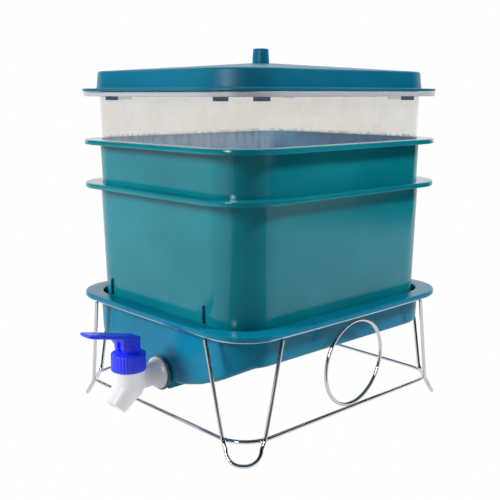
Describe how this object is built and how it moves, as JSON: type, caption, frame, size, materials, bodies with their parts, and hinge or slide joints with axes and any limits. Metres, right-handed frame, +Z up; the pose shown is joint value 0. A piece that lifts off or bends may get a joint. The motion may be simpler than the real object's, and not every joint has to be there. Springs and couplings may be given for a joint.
{
  "type": "worm composter",
  "caption": "Tabletop worm composter: tub with a push tap on a chromed wire stand, two green trays, a clear vented tray and a domed lid.",
  "frame": {"origin": "on the floor, under the middle of the object's bounding box", "axes": "+Z up, the tap faces -Y, +X is the right-hand side seen from the tap"},
  "size_m": [0.3082, 0.4198, 0.4104],
  "materials": {
    "lid_blue": "satin moulded, blue-teal",
    "tray_green": "satin moulded, green-teal",
    "frosted": "translucent, lightly frosted",
    "vent_screen": "fine dark net",
    "chrome": "bright plated wire",
    "tap_blue": "satin moulded, ultramarine",
    "tap_white": "milky white",
    "sealing": "clear silicone, grey-green",
    "steel": "plain"
  },
  "bodies": {
    "base": {"base_tub": "lid_blue", "stand_top_ring": "chrome", "stand_bottom_ring": "chrome", "stand_leg_front_left": "chrome", "stand_leg_front_right": "chrome", "stand_leg_back_left": "chrome", "stand_leg_back_right": "chrome", "stand_circle_left": "chrome", "stand_circle_right": "chrome", "tap_body": "tap_white", "tap_collar": "tap_blue", "tap_outer_washer": "sealing", "tap_inner_washer": "sealing", "tap_nut": "tap_white"},
    "lower_tray": {"lower_tray": "tray_green"},
    "upper_tray": {"upper_tray": "tray_green"},
    "clear_tray": {"clear_tray": "frosted", "vent_screen_front_1": "vent_screen", "vent_screen_front_2": "vent_screen", "vent_screen_back_1": "vent_screen", "vent_screen_back_2": "vent_screen", "vent_screen_right_1": "vent_screen", "vent_screen_right_2": "vent_screen", "vent_screen_left_1": "vent_screen", "vent_screen_left_2": "vent_screen"},
    "lid": {"lid_shell": "lid_blue", "lid_knob": "lid_blue", "knob_screw": "steel"},
    "tap_stem": {"tap_stem": "tap_blue", "tap_seal": "sealing"},
    "tap_lever": {"tap_lever": "tap_blue", "tap_pin": "tap_blue"}
  },
  "joints": [
    {"name": "lower_tray_lift", "type": "slide", "parent": "base", "child": "lower_tray", "axis": [0, 0, 1], "range_m": [0, 0.15]},
    {"name": "upper_tray_lift", "type": "slide", "parent": "lower_tray", "child": "upper_tray", "axis": [0, 0, 1], "range_m": [0, 0.15]},
    {"name": "clear_tray_lift", "type": "slide", "parent": "upper_tray", "child": "clear_tray", "axis": [0, 0, 1], "range_m": [0, 0.15]},
    {"name": "lid_lift", "type": "slide", "parent": "clear_tray", "child": "lid", "axis": [0, 0, 1], "range_m": [0, 0.12]},
    {"name": "lever_press", "type": "hinge", "parent": "tap_stem", "child": "tap_lever", "pos_m": [0.0065, -0.15862, 0.1001], "axis": [1, 0, 0], "range_deg": [0, 25], "stiffness_Nm_per_rad": 0.3, "springref_deg": -11.46},
    {"name": "stem_lift", "type": "slide", "parent": "base", "child": "tap_stem", "axis": [0, 0, 1], "range_m": [0, 0.002]}
  ],
  "couplings": [
    {"joint": "stem_lift", "follows": "lever_press", "m_per_rad": 0.00376}
  ]
}
